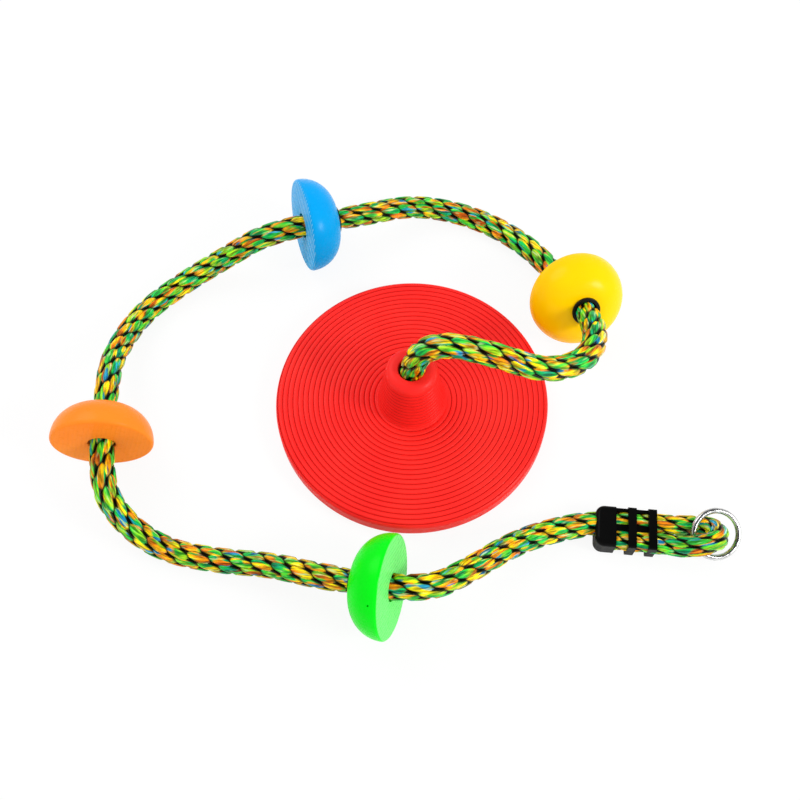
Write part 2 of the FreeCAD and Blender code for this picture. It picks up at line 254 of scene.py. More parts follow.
def tinted(nodes, links, colour, tint, share):
    """A colour turned into one plain tint where the share is high."""
    mix = nodes.new("ShaderNodeMixRGB")
    mix.inputs["Color2"].default_value = (*tint, 1)
    links.new(share, mix.inputs["Fac"])
    links.new(colour, mix.inputs["Color1"])
    return mix.outputs["Color"]


def shaded(nodes, links, colour, shade, strength=1.0):
    """A colour multiplied by a shade."""
    mix = nodes.new("ShaderNodeMixRGB")
    mix.blend_type = "MULTIPLY"
    mix.inputs["Fac"].default_value = strength
    links.new(colour, mix.inputs["Color1"])
    links.new(shade, mix.inputs["Color2"])
    return mix.outputs["Color"]


def marked(nodes, name):
    """What a piece's own mark of this name says, from point to point."""
    mark = nodes.new("ShaderNodeAttribute")
    mark.attribute_name = name
    return mark.outputs["Fac"]


def add_bump(nodes, links, height, strength, distance):
    bump = nodes.new("ShaderNodeBump")
    bump.inputs["Strength"].default_value = strength
    bump.inputs["Distance"].default_value = distance
    links.new(height, bump.inputs["Height"])
    links.new(bump.outputs["Normal"], shader_of(nodes).inputs["Normal"])


def moulded_plastic(name, pale, deep, roughness, sheen=0.15):
    """Moulded plastic: colour that drifts a little, fine pebble in the skin, uneven gloss.
    Where a piece marks its grooves, painted shade makes them a deeper, darker colour."""
    material, nodes, links = new_material(name)
    shader = shader_of(nodes)
    drift = object_noise(nodes, links, 14, 3)
    colour = ramp_node(nodes, [(0.30, deep), (0.70, pale)])
    links.new(drift.outputs["Fac"], colour.inputs["Fac"])
    # painted shade: the groove mark darkens the colour towards deep red down in the grooves
    shade = ramp_node(nodes, [(0.0, grey(1.0)), (1.0, (0.62, 0.12, 0.12))])
    links.new(marked(nodes, "groove"), shade.inputs["Fac"])
    groove_shaded = shaded(nodes, links, colour.outputs["Color"], shade.outputs["Color"])
    links.new(groove_shaded, shader.inputs["Base Color"])
    scuff = object_noise(nodes, links, 160, 6)
    gloss = ramp_node(nodes, [(0.25, grey(roughness - 0.05)), (0.75, grey(roughness + 0.08))])
    links.new(scuff.outputs["Fac"], gloss.inputs["Fac"])
    links.new(gloss.outputs["Color"], shader.inputs["Roughness"])
    pebble = object_noise(nodes, links, 900, 2)
    add_bump(nodes, links, pebble.outputs["Fac"], 0.05, 0.0001)
    shader.inputs["Specular IOR Level"].default_value = sheen
    return material


def platform_plastic(name, pale, deep, roughness, face_pale, line_colour, line_share):
    """Blown plastic whose flat face carries fine wavy lines, and can be paler and duller than the dome."""
    material = moulded_plastic(name, pale, deep, roughness)
    nodes = material.node_tree.nodes
    links = material.node_tree.links
    shader = shader_of(nodes)
    flat = marked(nodes, "flat")
    face_map = nodes.new("ShaderNodeUVMap")
    face_map.uv_map = "face"
    lines = nodes.new("ShaderNodeTexWave")
    lines.inputs["Scale"].default_value = 2 * math.pi / FACE_LINE_PITCH / 20
    lines.inputs["Distortion"].default_value = 2.0
    lines.inputs["Detail"].default_value = 1.0
    lines.inputs["Detail Scale"].default_value = 0.4
    links.new(face_map.outputs["UV"], lines.inputs["Vector"])
    crests = ramp_node(nodes, [(0.60, grey(0.0)), (0.80, grey(1.0))])
    links.new(lines.outputs["Fac"], crests.inputs["Fac"])
    on_face = maths(nodes, links, "MULTIPLY", crests.outputs["Color"], flat)
    colour = shader.inputs["Base Color"].links[0].from_socket
    colour = tinted(nodes, links, colour, WHITE, maths(nodes, links, "MULTIPLY", flat, face_pale))
    colour = tinted(nodes, links, colour, line_colour, maths(nodes, links, "MULTIPLY", on_face, line_share))
    links.new(colour, shader.inputs["Base Color"])
    sheen = maths(nodes, links, "MULTIPLY_ADD", flat, FACE_SHEEN - PLATFORM_SHEEN, PLATFORM_SHEEN)
    links.new(sheen, shader.inputs["Specular IOR Level"])
    ridges = nodes.new("ShaderNodeBump")
    ridges.inputs["Strength"].default_value = 0.4
    ridges.inputs["Distance"].default_value = 0.0002
    links.new(on_face, ridges.inputs["Height"])
    links.new(shader.inputs["Normal"].links[0].from_socket, ridges.inputs["Normal"])
    links.new(ridges.outputs["Normal"], shader.inputs["Normal"])
    return material


def zinc_steel():
    """Bright plated wire with faint drawing marks."""
    material, nodes, links = new_material("zinc_steel")
    shader = shader_of(nodes)
    shader.inputs["Metallic"].default_value = 1.0
    marks = object_noise(nodes, links, 260, 3, (1, 1, 0.3))
    colour = ramp_node(nodes, [(0.30, grey(0.60)), (0.70, grey(0.78))])
    links.new(marks.outputs["Fac"], colour.inputs["Fac"])
    links.new(colour.outputs["Color"], shader.inputs["Base Color"])
    gloss = ramp_node(nodes, [(0.30, grey(0.18)), (0.75, grey(0.34))])
    links.new(marks.outputs["Fac"], gloss.inputs["Fac"])
    links.new(gloss.outputs["Color"], shader.inputs["Roughness"])
    add_bump(nodes, links, marks.outputs["Fac"], 0.03, 0.00005)
    return material


# colour of the painted highlights on the filaments
GLINT_GREEN = (0.62, 0.88, 0.36)


def braided_fibre():
    """Shiny filaments in green, yellow, orange and blue that run slantwise round each strand.
    The strand map holds the way round (u) and the way along in metres (v). Painted shade blackens the gaps
    between strands, and painted highlights pale the filaments in streaks."""
    material, nodes, links = new_material("rope_plait")
    shader = shader_of(nodes)
    strand_map = nodes.new("ShaderNodeUVMap")
    strand_map.uv_map = "strand"
    parts = nodes.new("ShaderNodeSeparateXYZ")
    links.new(strand_map.outputs["UV"], parts.inputs["Vector"])
    along = parts.outputs["Y"]
    turned_by = maths(nodes, links, "MULTIPLY", along, FILAMENT_SLANT)
    slant = maths(nodes, links, "ADD", parts.outputs["X"], turned_by)

    def streaks(across, lengthwise, detail, start=0.0):
        """Noise drawn out along the filaments: so many streaks round, so many per metre."""
        vector = nodes.new("ShaderNodeCombineXYZ")
        links.new(maths(nodes, links, "MULTIPLY", slant, across), vector.inputs["X"])
        links.new(maths(nodes, links, "MULTIPLY", along, lengthwise), vector.inputs["Y"])
        vector.inputs["Z"].default_value = start
        noise = nodes.new("ShaderNodeTexNoise")
        noise.inputs["Scale"].default_value = 1.0
        noise.inputs["Detail"].default_value = detail
        links.new(vector.outputs["Vector"], noise.inputs["Vector"])
        return noise.outputs["Fac"]

    def shades(stops, across, lengthwise, start):
        ramp = ramp_node(nodes, stops)
        links.new(streaks(across, lengthwise, 1.0, start), ramp.inputs["Fac"])
        return ramp.outputs["Color"]

    greens = shades([
        (0.30, (0.00, 0.27, 0.13)),
        (0.44, (0.00, 0.43, 0.06)),
        (0.55, (0.06, 0.54, 0.02)),
        (0.67, (0.34, 0.63, 0.01)),
    ], 3.2, 34.0, 0.0)
    warms = shades([
        (0.32, (0.30, 0.05, 0.00)),
        (0.43, (0.74, 0.20, 0.00)),
        (0.51, (0.82, 0.38, 0.00)),
        (0.60, (0.86, 0.66, 0.00)),
    ], 3.2, 34.0, 9.0)
    blues = shades([(0.35, (0.00, 0.12, 0.32)), (0.65, (0.02, 0.34, 0.50))], 2.6, 30.0, 17.0)
    warm_share = shades([(0.48, grey(0)), (0.54, grey(1))], 3.4, 34.0, 25.0)
    blue_share = shades([(0.625, grey(0)), (0.675, grey(1))], 3.8, 40.0, 33.0)
    colour = blended(nodes, links, greens, warms, warm_share)
    colour = blended(nodes, links, colour, blues, blue_share)

    # fine streaks along the filaments: tone that differs from one filament to the next, with the brightest
    # lifted past the base colour as painted highlights
    fine = ramp_node(nodes, [(0.36, grey(0.26)), (0.50, grey(0.95)), (0.64, grey(1.80))])
    links.new(streaks(12.0, 70.0, 2.0), fine.inputs["Fac"])
    colour = shaded(nodes, links, colour, fine.outputs["Color"], 0.85)

    # painted highlights: pale streaks tinted into the base colour where the filaments would catch the light
    glints = shades([(0.61, grey(0.0)), (0.73, grey(0.75))], 9.0, 60.0, 41.0)
    colour = tinted(nodes, links, colour, GLINT_GREEN, glints)

    # painted shade: near black where the crown mark is low, deep between the strands and at their shoulders
    depth = ramp_node(nodes, [
        (0.36, grey(0.01)),
        (0.53, grey(0.06)),
        (0.66, grey(0.50)),
        (0.80, grey(1.0)),
    ])
    links.new(marked(nodes, "crown"), depth.inputs["Fac"])
    links.new(shaded(nodes, links, colour, depth.outputs["Color"]), shader.inputs["Base Color"])
    shader.inputs["Roughness"].default_value = 0.30
    shader.inputs["Specular IOR Level"].default_value = 0.18
    shader.inputs["Anisotropic"].default_value = 0.7
    grain = nodes.new("ShaderNodeTangent")
    grain.direction_type = "UV_MAP"
    grain.uv_map = "strand"
    links.new(grain.outputs["Tangent"], shader.inputs["Tangent"])
    shader.inputs["IOR"].default_value = 1.5
    add_bump(nodes, links, streaks(44.0, 80.0, 2.0), 0.8, 0.0006)
    return material


# ---------------------------------------------------------------- modelling helpers
def deselect():
    bpy.ops.object.select_all(action="DESELECT")


def activate(obj):
    deselect()
    obj.select_set(True)
    bpy.context.view_layer.objects.active = obj


def rounded_profile(corners, step=math.radians(15)):
    """(radius, height) points of an open profile; a corner's third number is its rounding radius."""
    points = [(corners[0][0], corners[0][1])]
    for before, corner, after in zip(corners, corners[1:], corners[2:]):
        here = Vector(corner[:2])
        if len(corner) == 2:
            points.append(tuple(here))
            continue
        radius = corner[2]
        back = (Vector(before[:2]) - here).normalized()
        ahead = (Vector(after[:2]) - here).normalized()
        half_turn = (math.pi - back.angle(ahead)) / 2
        middle = here + (back + ahead).normalized() * (radius / math.cos(half_turn))
        start = here + back * radius * math.tan(half_turn)
        spoke = start - middle
        side = 1 if back.x * ahead.y - back.y * ahead.x < 0 else -1
        count = max(2, math.ceil(2 * half_turn / step))
        for index in range(count + 1):
            turn = side * 2 * half_turn * index / count
            points.append((
                middle.x + spoke.x * math.cos(turn) - spoke.y * math.sin(turn),
                middle.y + spoke.x * math.sin(turn) + spoke.y * math.cos(turn),
            ))
    points.append((corners[-1][0], corners[-1][1]))
    return points


def turned(name, profile, segments):
    """Turn a profile round +Z: a ring that is extruded, sized and lifted from point to point."""
    deselect()
    radius, height = profile[0]
    bpy.ops.mesh.primitive_circle_add(vertices=segments, radius=radius, location=(0, 0, height))
    obj = bpy.context.object
    obj.name = name
    bpy.ops.object.transform_apply()
    bpy.ops.object.mode_set(mode="EDIT")
    bpy.ops.mesh.select_all(action="SELECT")
    for next_radius, next_height in profile[1:]:
        bpy.ops.mesh.extrude_edges_move()
        grow = next_radius / radius
        bpy.ops.transform.resize(value=(grow, grow, 1))
        bpy.ops.transform.translate(value=(0, 0, next_height - height))
        radius = next_radius
        height = next_height
    bpy.ops.mesh.select_all(action="SELECT")
    bpy.ops.mesh.remove_doubles(threshold=1e-6)
    bpy.ops.mesh.normals_make_consistent(inside=False)
    bpy.ops.object.mode_set(mode="OBJECT")
    return obj


def join(name, objects):
    activate(objects[0])
    for obj in objects[1:]:
        obj.select_set(True)
    bpy.ops.object.join()
    obj = bpy.context.object
    obj.name = name
    return obj


def place(obj, matrix):
    """Put a finished piece in its place, with the place in its mesh."""
    obj.data.transform(matrix)
    obj.data.update()


def smooth(obj):
    """Shade smooth, apart from edges sharper than 40 degrees."""
    activate(obj)
    bpy.ops.object.shade_smooth_by_angle(angle=math.radians(40))


def paint(obj, material):
    obj.data.materials.clear()
    obj.data.materials.append(material)


def mark_groove_shade(obj, depth_at):
    """Keep how deep each vertex lies in a groove, from 0 to 1, for the material to paint as shade."""
    layer = obj.data.attributes.new("groove", "FLOAT", "POINT")
    layer.data.foreach_set("value", [depth_at(vertex.co) for vertex in obj.data.vertices])


def finish_piece(obj, name, body, material, replaced):
    obj.name = name
    paint(obj, material)
    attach(obj, body)
    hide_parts(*replaced)


# ---------------------------------------------------------------- rope
def route_line():
    """The rope's smooth centreline, as points read from its spline."""
    data = bpy.data.curves.new("rope_line", "CURVE")
    data.dimensions = "3D"
    spline = data.splines.new("NURBS")
    spline.points.add(len(ROUTE) - 1)
    for point, corner in zip(spline.points, ROUTE):
        point.co = (*(Vector(corner) + SEAT_AXIS), 1)
    spline.order_u = 3
    spline.use_endpoint_u = True
    spline.resolution_u = 24
    obj = bpy.data.objects.new("rope_line", data)
    bpy.context.collection.objects.link(obj)
    bpy.context.view_layer.update()
    mesh = bpy.data.meshes.new_from_object(obj)
    points = np.array([vertex.co[:] for vertex in mesh.vertices])
    bpy.data.objects.remove(obj)
    bpy.data.meshes.remove(mesh)
    return points


def even_steps(points, step):
    """The same line in even steps, with its length so far at each."""
    lengths = np.linalg.norm(np.diff(points, axis=0), axis=1)
    keep = np.concatenate([[True], lengths > 1e-7])
    points = points[keep]
    so_far = np.concatenate([[0], np.cumsum(np.linalg.norm(np.diff(points, axis=0), axis=1))])
    count = int(round(so_far[-1] / step))
    at = np.linspace(0, so_far[-1], count + 1)
    return np.column_stack([np.interp(at, so_far, points[:, axis]) for axis in range(3)]), at


def frames_along(points):
    """Tangent and two untwisted side directions at each point of a line."""
    tangents = np.gradient(points, axis=0)
    tangents /= np.linalg.norm(tangents, axis=1)[:, None]
    side = np.cross(tangents[0], [0.0, 1.0, 0.0])
    side /= np.linalg.norm(side)
    sides = [side]
    for tangent in tangents[1:]:
        side = side - tangent * side.dot(tangent)
        side = side / np.linalg.norm(side)
        sides.append(side)
    sides = np.array(sides)
    return tangents, sides, np.cross(tangents, sides)


STITCH_PITCH = 0.0227        # from one stitch to the next along a row
STITCH_ROWS = 8              # rows of stitches round the rope, each half a pitch on from the last
STITCH_SPAN = 1.5            # pitches from one stitch of a strand to its next
STRANDS = 12
HEIGHT_SWING = 1.5           # over the full swing, so that a strand lies flat along its stitch
HEIGHT_LEVEL = 0.75          # over nought, so that a stitch is longer than the dip after it
CROWN_R = 0.0091             # strand's middle at the top of its stitch
UNDER_R = 0.0064             # strand's middle where it runs below
STRAND_CROWN = (0.0050, 0.0038)      # half width and half height at the top of the stitch
STRAND_UNDER = (0.0036, 0.0028)
SEAM_SHADE = 0.0030          # how much lower the shoulders of a strand count when it is shaded
SHADE_LOW_R = 0.0070         # the crown mark runs from nought here
SHADE_RISE = 0.0055          # to one this much further out
VALLEY_SHARE = 0.06          # how much the surface sinks between the slanting ridges
VALLEY_POWER = 8             # a higher power makes the valley narrower
COLOUR_SHIFT = 3.7           # metres between two strands' maps, so that their colours differ
RING_TURNS = [math.radians(turn) for turn in (-115, -80, -50, -20, 20, 50, 80, 115, 180)]


def strand_course(at, number):
    """Angle round the rope and height (1 crown, -1 under) of one strand of the solid braid.
    All strands go round the same way, one row for each stitch and a half."""
    run = STITCH_SPAN * STITCH_PITCH
    angle = 2 * math.pi * (at / run / STITCH_ROWS + number / STRANDS)
    phase = 2 * math.pi * (at / run + 2 * number / 3)
    return angle, np.clip(HEIGHT_SWING * np.cos(phase) + HEIGHT_LEVEL, -1, 1)


def valley(at, angle):
    """Nought along the slanting ridges that the stitches form, one in the valleys between."""
    ridge = at / STITCH_PITCH - angle / (2 * math.pi) * STITCH_ROWS / 2
    return (0.5 - 0.5 * np.cos(2 * math.pi * ridge)) ** VALLEY_POWER


def girth_along(points):
    """Share of full thickness: the rope is squeezed by each collet and from the clamp's mouth on."""
    by_clamp = points[:, 1] < SEAT_AXIS.y + CLAMP_SIDE_Y
    start = np.argmax(by_clamp & (points[:, 0] > CLAMP_MOUTH_X + SEAT_AXIS.x))
    past = np.arange(len(points)) - start + CLAMP_EASE_STEPS / 2
    girth = 1 - CLAMP_SQUEEZE * np.clip(past / CLAMP_EASE_STEPS, 0, 1)
    for joint in frame["joints"]:
        if joint["name"].startswith("platform_"):
            end = Vector(joint["pos_m"]) + Vector(joint["axis"]).normalized() * COLLET_L / 2
            away = np.linalg.norm(points - np.array(end), axis=1)
            girth -= COLLET_SQUEEZE * np.exp(-(away / COLLET_SQUEEZE_RUN) ** 2)
    return girth


def between(under, crown, height):
    return under + (crown - under) * (height + 1) / 2


def strand_rings(points, at, frames, girth, number):
    """One strand as rings of points, with each point's distance from the rope's middle, counted lower at
    the shoulders for the painted shade.
    """
    tangents, sides, ups = frames
    angle, height = strand_course(at, number)
    out = sides * np.cos(angle)[:, None] + ups * np.sin(angle)[:, None]
    middles = points + out * (between(UNDER_R, CROWN_R, height) * girth)[:, None]
    run = np.gradient(middles, axis=0)
    run /= np.linalg.norm(run, axis=1)[:, None]
    up = out - run * np.sum(out * run, axis=1)[:, None]
    up /= np.linalg.norm(up, axis=1)[:, None]
    across = np.cross(run, up)
    half_w = between(STRAND_UNDER[0], STRAND_CROWN[0], height) * girth
    half_h = between(STRAND_UNDER[1], STRAND_CROWN[1], height) * girth
    turns = np.array(RING_TURNS)
    lift = np.cos(turns)[None, :] * half_h[:, None]
    shift = np.sin(turns)[None, :] * half_w[:, None]
    rings = middles[:, None] + up[:, None] * lift[..., None] + across[:, None] * shift[..., None]
    spokes = rings - points[:, None]
    lengthwise = np.sum(spokes * tangents[:, None], axis=2)
    upward = np.sum(spokes * ups[:, None], axis=2)
    sideways = np.sum(spokes * sides[:, None], axis=2)
    sink = valley(at[:, None] + lengthwise, np.arctan2(upward, sideways))
    straight = tangents[:, None] * lengthwise[..., None]
    spokes = straight + (spokes - straight) * (1 - VALLEY_SHARE * sink)[..., None]
    # painted shade: the shoulders count as lying lower, so the seams between strands come out dark
    shoulder = SEAM_SHADE * (1 - np.cos(turns))
    shade_reach = np.linalg.norm(spokes, axis=2) / girth[:, None] - shoulder[None, :]
    return points[:, None] + spokes, shade_reach


def braided(name, runs, material):
    """One mesh of braided rope along each run of (points, distances, girths)."""
    sides = len(RING_TURNS)
    vertices = []
    faces = []
    maps = []
    shade_reaches = []
    for points, at, girth in runs:
        frames = frames_along(points)
        count = len(points)
        for number in range(STRANDS):
            rings, shade_reach = strand_rings(points, at, frames, girth, number)
            base = len(vertices)
            vertices.extend(rings.reshape(-1, 3).tolist())
            shade_reaches.extend(shade_reach.reshape(-1).tolist())
            run = at + number * COLOUR_SHIFT
            for ring in range(count - 1):
                here = base + ring * sides
                ahead = here + sides
                low = run[ring]
                high = run[ring + 1]
                for side in range(sides):
                    after = (side + 1) % sides
                    faces.append((here + side, here + after, ahead + after, ahead + side))
                    near = side / sides
                    far = (side + 1) / sides
                    maps.extend([(near, low), (far, low), (far, high), (near, high)])
            last = base + (count - 1) * sides
            faces.append(tuple(base + side for side in reversed(range(sides))))
            faces.append(tuple(last + side for side in range(sides)))
            maps.extend([(0.5, run[0])] * sides + [(0.5, run[-1])] * sides)
    mesh = bpy.data.meshes.new(name)
    mesh.from_pydata(vertices, [], faces)
    layer = mesh.uv_layers.new(name="strand")
    layer.data.foreach_set("uv", np.array(maps).ravel())
    # the crown mark sets the painted shade between the strands
    crown = mesh.attributes.new("crown", "FLOAT", "POINT")
    crown.data.foreach_set("value", (np.array(shade_reaches) - SHADE_LOW_R) / SHADE_RISE)
    obj = bpy.data.objects.new(name, mesh)
    bpy.context.collection.objects.link(obj)
    activate(obj)
    bpy.ops.object.mode_set(mode="EDIT")
    bpy.ops.mesh.select_all(action="SELECT")
    bpy.ops.mesh.normals_make_consistent(inside=False)
    bpy.ops.object.mode_set(mode="OBJECT")
    bpy.ops.object.shade_smooth()
    paint(obj, material)
    return obj


def knot_piece(material):
    """Stopper knot under the hub: the rope's end wrapped round itself, and its cut stub."""
    low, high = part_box("seat_knot")
    outer = (high[0] - low[0]) / 2
    squeezed = KNOT_WRAP_R / ROPE_SURFACE_R
    turns = np.linspace(0, 2 * math.pi * KNOT_TURNS, KNOT_POINTS)
    mean = outer - KNOT_WRAP_R
    top = high[2] - KNOT_WRAP_R
    wraps = np.column_stack([
        SEAT_AXIS.x + mean * np.cos(turns),
        SEAT_AXIS.y + mean * np.sin(turns),
        top - turns / (2 * math.pi) * KNOT_PITCH,
    ])
    stub = np.column_stack([
        np.full(STUB_POINTS, SEAT_AXIS.x),
        np.full(STUB_POINTS, SEAT_AXIS.y),
        np.linspace(high[2] - KNOT_STUB_START, low[2], STUB_POINTS),
    ])
    runs = []
    for line, girth in ((wraps, squeezed), (stub, KNOT_STUB_GIRTH)):
        points, at = even_steps(line, ROPE_STEP)
        runs.append((points, at, np.full(len(points), girth)))
    knot = braided("knot_braided", runs, material)
    finish_piece(knot, "knot_braided", "rope", material, ["seat_knot"])
    return knot


def rope_piece(material, knot):
    points, at = even_steps(route_line(), ROPE_STEP)
    rope = braided("rope_braided", [(points, at, girth_along(points))], material)
    finish_piece(rope, "rope_braided", "rope", material, ["rope"])


# ---------------------------------------------------------------- seat
def hub_radius(z):
    share = (z - SEAT_T) / (HUB_TOP_Z - SEAT_T)
    return HUB_BASE_R + (HUB_TOP_R - HUB_BASE_R) * share


def seat_surface(radius):
    """Height of the seat's top, dish and rounded rim together."""
    foot = hub_radius(SEAT_T - SEAT_DISH)
    height = SEAT_T - SEAT_DISH * (SEAT_R - radius) / (SEAT_R - foot)
    inward = radius - (SEAT_R - SEAT_EDGE_R)
    if inward > 0:
        height -= SEAT_EDGE_R - math.sqrt(max(SEAT_EDGE_R ** 2 - inward ** 2, 0))
    return height


GROOVE_SHAPE = [             # share of the pitch, height over the land
    (0.00, -1.00),
    (0.07, -1.00),
    (0.13, -0.30),
    (0.18, -0.06),
    (0.36, 0.10),
    (0.55, 0.13),
    (0.74, 0.10),
    (0.90, -0.06),
    (0.95, -0.30),
]
GROOVE_ZERO_R = 0.14042      # radius of the groove that crosses +X nearest the rim
GROOVE_TURNS = range(-22, 3)
GROOVE_EASE = 0.0006         # the groove runs out over this much at the hub and at the rim
HUB_FIRST_RING_Z = 0.0215
HUB_RING_DEPTH = 0.0005
HUB_RING_SHAPE = (           # height from the ring's middle, depth
    (-0.0008, 0),
    (-0.0003, HUB_RING_DEPTH),
    (0.0003, HUB_RING_DEPTH),
    (0.0008, 0),
)
HUB_PLAIN_TOP = 0.009        # the hub has no rings this near its top
HUB_RING_CLEAR = 0.002       # nor this near its shoulder, and no shade this near its foot
TOP_INNER_R = 0.0377
TOP_OUTER_R = 0.1448
SEAT_SEGMENTS = 240


def grooved_top():
    """The seat's top: one spiral groove that runs inwards as it goes round anticlockwise."""
    rows = []
    for turn in GROOVE_TURNS:
        for share, height in GROOVE_SHAPE:
            rows.append((GROOVE_ZERO_R + GROOVE_PITCH * (turn + share), height))
    vertices = []
    for radius, height in rows:
        for column in range(SEAT_SEGMENTS + 1):
            angle = 2 * math.pi * column / SEAT_SEGMENTS
            here = radius - GROOVE_PITCH * column / SEAT_SEGMENTS
            kept = min(max(here, TOP_INNER_R), TOP_OUTER_R)
            from_edge = min(here - TOP_INNER_R, TOP_OUTER_R - here)
            lift = height * GROOVE_DEPTH * min(1, max(0, from_edge / GROOVE_EASE))
            vertices.append((kept * math.cos(angle), kept * math.sin(angle), seat_surface(kept) + lift))
    faces = []
    wide = SEAT_SEGMENTS + 1
    for row in range(len(rows) - 1):
        for column in range(SEAT_SEGMENTS):
            here = row * wide + column
            faces.append((here, here + wide, here + wide + 1, here + 1))
    mesh = bpy.data.meshes.new("seat_top")
    mesh.from_pydata(vertices, [], faces)
    obj = bpy.data.objects.new("seat_top", mesh)
    bpy.context.collection.objects.link(obj)
    activate(obj)
    bpy.ops.object.mode_set(mode="EDIT")
    bpy.ops.mesh.select_all(action="SELECT")
    bpy.ops.mesh.remove_doubles(threshold=2e-6)
    bpy.ops.mesh.dissolve_degenerate(threshold=1e-6)
    bpy.ops.mesh.select_all(action="SELECT")
    bpy.ops.mesh.delete_loose()
    bpy.ops.object.mode_set(mode="OBJECT")
    return obj


def hub_side():
    """Profile of the hub's outside from the seat up, with a fine ring groove at each pitch."""
    points = []
    ring = HUB_FIRST_RING_Z
    while ring < HUB_TOP_Z - HUB_SHOULDER_R - HUB_RING_CLEAR:
        for offset, depth in HUB_RING_SHAPE:
            points.append((hub_radius(ring + offset) - depth, ring + offset))
        ring += GROOVE_PITCH
    return points


def seat_groove_depth(at):
    """Depth below the lands at a place on the seat's top or the hub's side, which sets the painted shade in
    the grooves.
    """
    radius = math.hypot(at.x, at.y)
    if at.z >= HUB_TOP_Z - HUB_PLAIN_TOP:
        return 0
    if at.z > SEAT_T + HUB_RING_CLEAR:
        return min(1, max(0, (hub_radius(at.z) - radius) / HUB_RING_DEPTH))
    if TOP_INNER_R < radius < TOP_OUTER_R and at.z > SEAT_T - SEAT_EDGE_R:
        return min(1, max(0, (seat_surface(radius) - at.z) / GROOVE_DEPTH - 0.1))
    return 0


def seat_piece(material):
    foot_z = SEAT_T - SEAT_DISH
    rim_in = SEAT_R - SEAT_SKIN
    body = rounded_profile([
        (TOP_INNER_R, seat_surface(TOP_INNER_R)),
        (hub_radius(foot_z), foot_z, HUB_FOOT_R),
        *hub_side(),
        (HUB_TOP_R, HUB_TOP_Z, HUB_SHOULDER_R),
        (ROPE_BORE_R, HUB_TOP_Z, HUB_LIP_R),
        (ROPE_BORE_R, HUB_WEB_Z),
        (hub_radius(HUB_WEB_Z) - HUB_WALL, HUB_WEB_Z),
        (hub_radius(foot_z) - HUB_WALL, RIB_LIFT),
        (hub_radius(foot_z), RIB_LIFT),
        (hub_radius(foot_z), foot_z - SEAT_SKIN),
        (rim_in, SEAT_T - SEAT_SKIN),
        (rim_in, 0),
        (SEAT_R - SEAT_SKIN / 2, 0),
        (SEAT_R, SEAT_SKIN / 2),
        (SEAT_R, SEAT_T - SEAT_EDGE_R),
    ])
    rise = TOP_OUTER_R - (SEAT_R - SEAT_EDGE_R)
    last = math.asin(rise / SEAT_EDGE_R)
    for index in range(1, 6):
        turn = math.pi / 2 - (math.pi / 2 - last) * index / 5
        radius = SEAT_R - SEAT_EDGE_R + SEAT_EDGE_R * math.sin(turn)
        body.append((radius, seat_surface(radius)))
    shell = turned("seat_shell", body, SEAT_SEGMENTS)
    parts = [shell, grooved_top()] + seat_ribs()
    seat = join("seat_grooved", parts)
    bpy.ops.object.mode_set(mode="EDIT")
    bpy.ops.mesh.select_all(action="SELECT")
    bpy.ops.mesh.remove_doubles(threshold=2e-5)
    bpy.ops.mesh.normals_make_consistent(inside=False)
    bpy.ops.object.mode_set(mode="OBJECT")
    mark_groove_shade(seat, seat_groove_depth)
    place(seat, Matrix.Translation(SEAT_AXIS))
    smooth(seat)
    finish_piece(seat, "seat_grooved", "seat", material, ["seat_disc"])


def seat_ribs():
    """Radial ribs and ring ribs under the seat."""
    inner = hub_radius(SEAT_T) - HUB_WALL / 2
    outer = SEAT_R - SEAT_SKIN / 2
    top = SEAT_T - SEAT_DISH - SEAT_SKIN / 2
    parts = []
    for turn in range(RIB_COUNT):
        deselect()
        bpy.ops.mesh.primitive_cube_add(size=1, location=((inner + outer) / 2, 0, (RIB_LIFT + top) / 2))
        rib = bpy.context.object
        rib.scale = (outer - inner, RIB_T, top - RIB_LIFT)
        bpy.ops.object.transform_apply()
        rib.data.transform(Matrix.Rotation(2 * math.pi * turn / RIB_COUNT, 4, "Z"))
        parts.append(rib)
    for radius in RIB_RING_RADII:
        parts.append(turned("rib_ring", [
            (radius - RIB_T / 2, top),
            (radius - RIB_T / 2, RIB_LIFT),
            (radius + RIB_T / 2, RIB_LIFT),
            (radius + RIB_T / 2, top),
            (radius - RIB_T / 2, top),
        ], 96))
    return parts


# ---------------------------------------------------------------- foot platforms
def platform_profile():
    """Round the whole section: flat face, edge, dome, crown, collet seat and bore."""
    start = (PLATFORM_BORE_R, BORE_SEAM_Z)
    points = rounded_profile([
        start,
        (PLATFORM_BORE_R, 0, BORE_EDGE_R),
        (PLATFORM_R, 0, PLATFORM_EDGE_R),
        (PLATFORM_R, PLATFORM_WIDEST),
    ])
    dome_r = PLATFORM_T - PLATFORM_WIDEST
    for index in range(1, DOME_STEPS + 1):
        turn = math.pi / 2 * index / DOME_STEPS
        radius = PLATFORM_R - dome_r + dome_r * math.cos(turn)
        points.append((radius, PLATFORM_WIDEST + dome_r * math.sin(turn)))
    seat_z = PLATFORM_T - COLLET_L - COLLET_REST_GAP
    points.append((COLLET_LIP_R + COLLET_LIP_EDGE, PLATFORM_T))
    points.append((COLLET_LIP_R, PLATFORM_T - COLLET_LIP_EDGE))
    points.append((COLLET_SEAT_R, seat_z))
    points.append((PLATFORM_BORE_R, seat_z))
    points.append(start)
    return points


def cut_vent(obj, turn):
    """The small blowing hole in the side of the dome."""
    deselect()
    bpy.ops.mesh.primitive_cylinder_add(vertices=20, radius=VENT_R, depth=VENT_DRILL_L)
    drill = bpy.context.object
    out = Vector((math.cos(turn), math.sin(turn), 0))
    drill.data.transform(Matrix.Translation(out * PLATFORM_R + Vector((0, 0, VENT_HEIGHT)))
                         @ out.to_track_quat("Z", "Y").to_matrix().to_4x4())
    hole = obj.modifiers.new("vent", "BOOLEAN")
    hole.object = drill
    hole.solver = "EXACT"
    activate(obj)
    bpy.ops.object.modifier_apply(modifier="vent")
    bpy.data.objects.remove(drill)


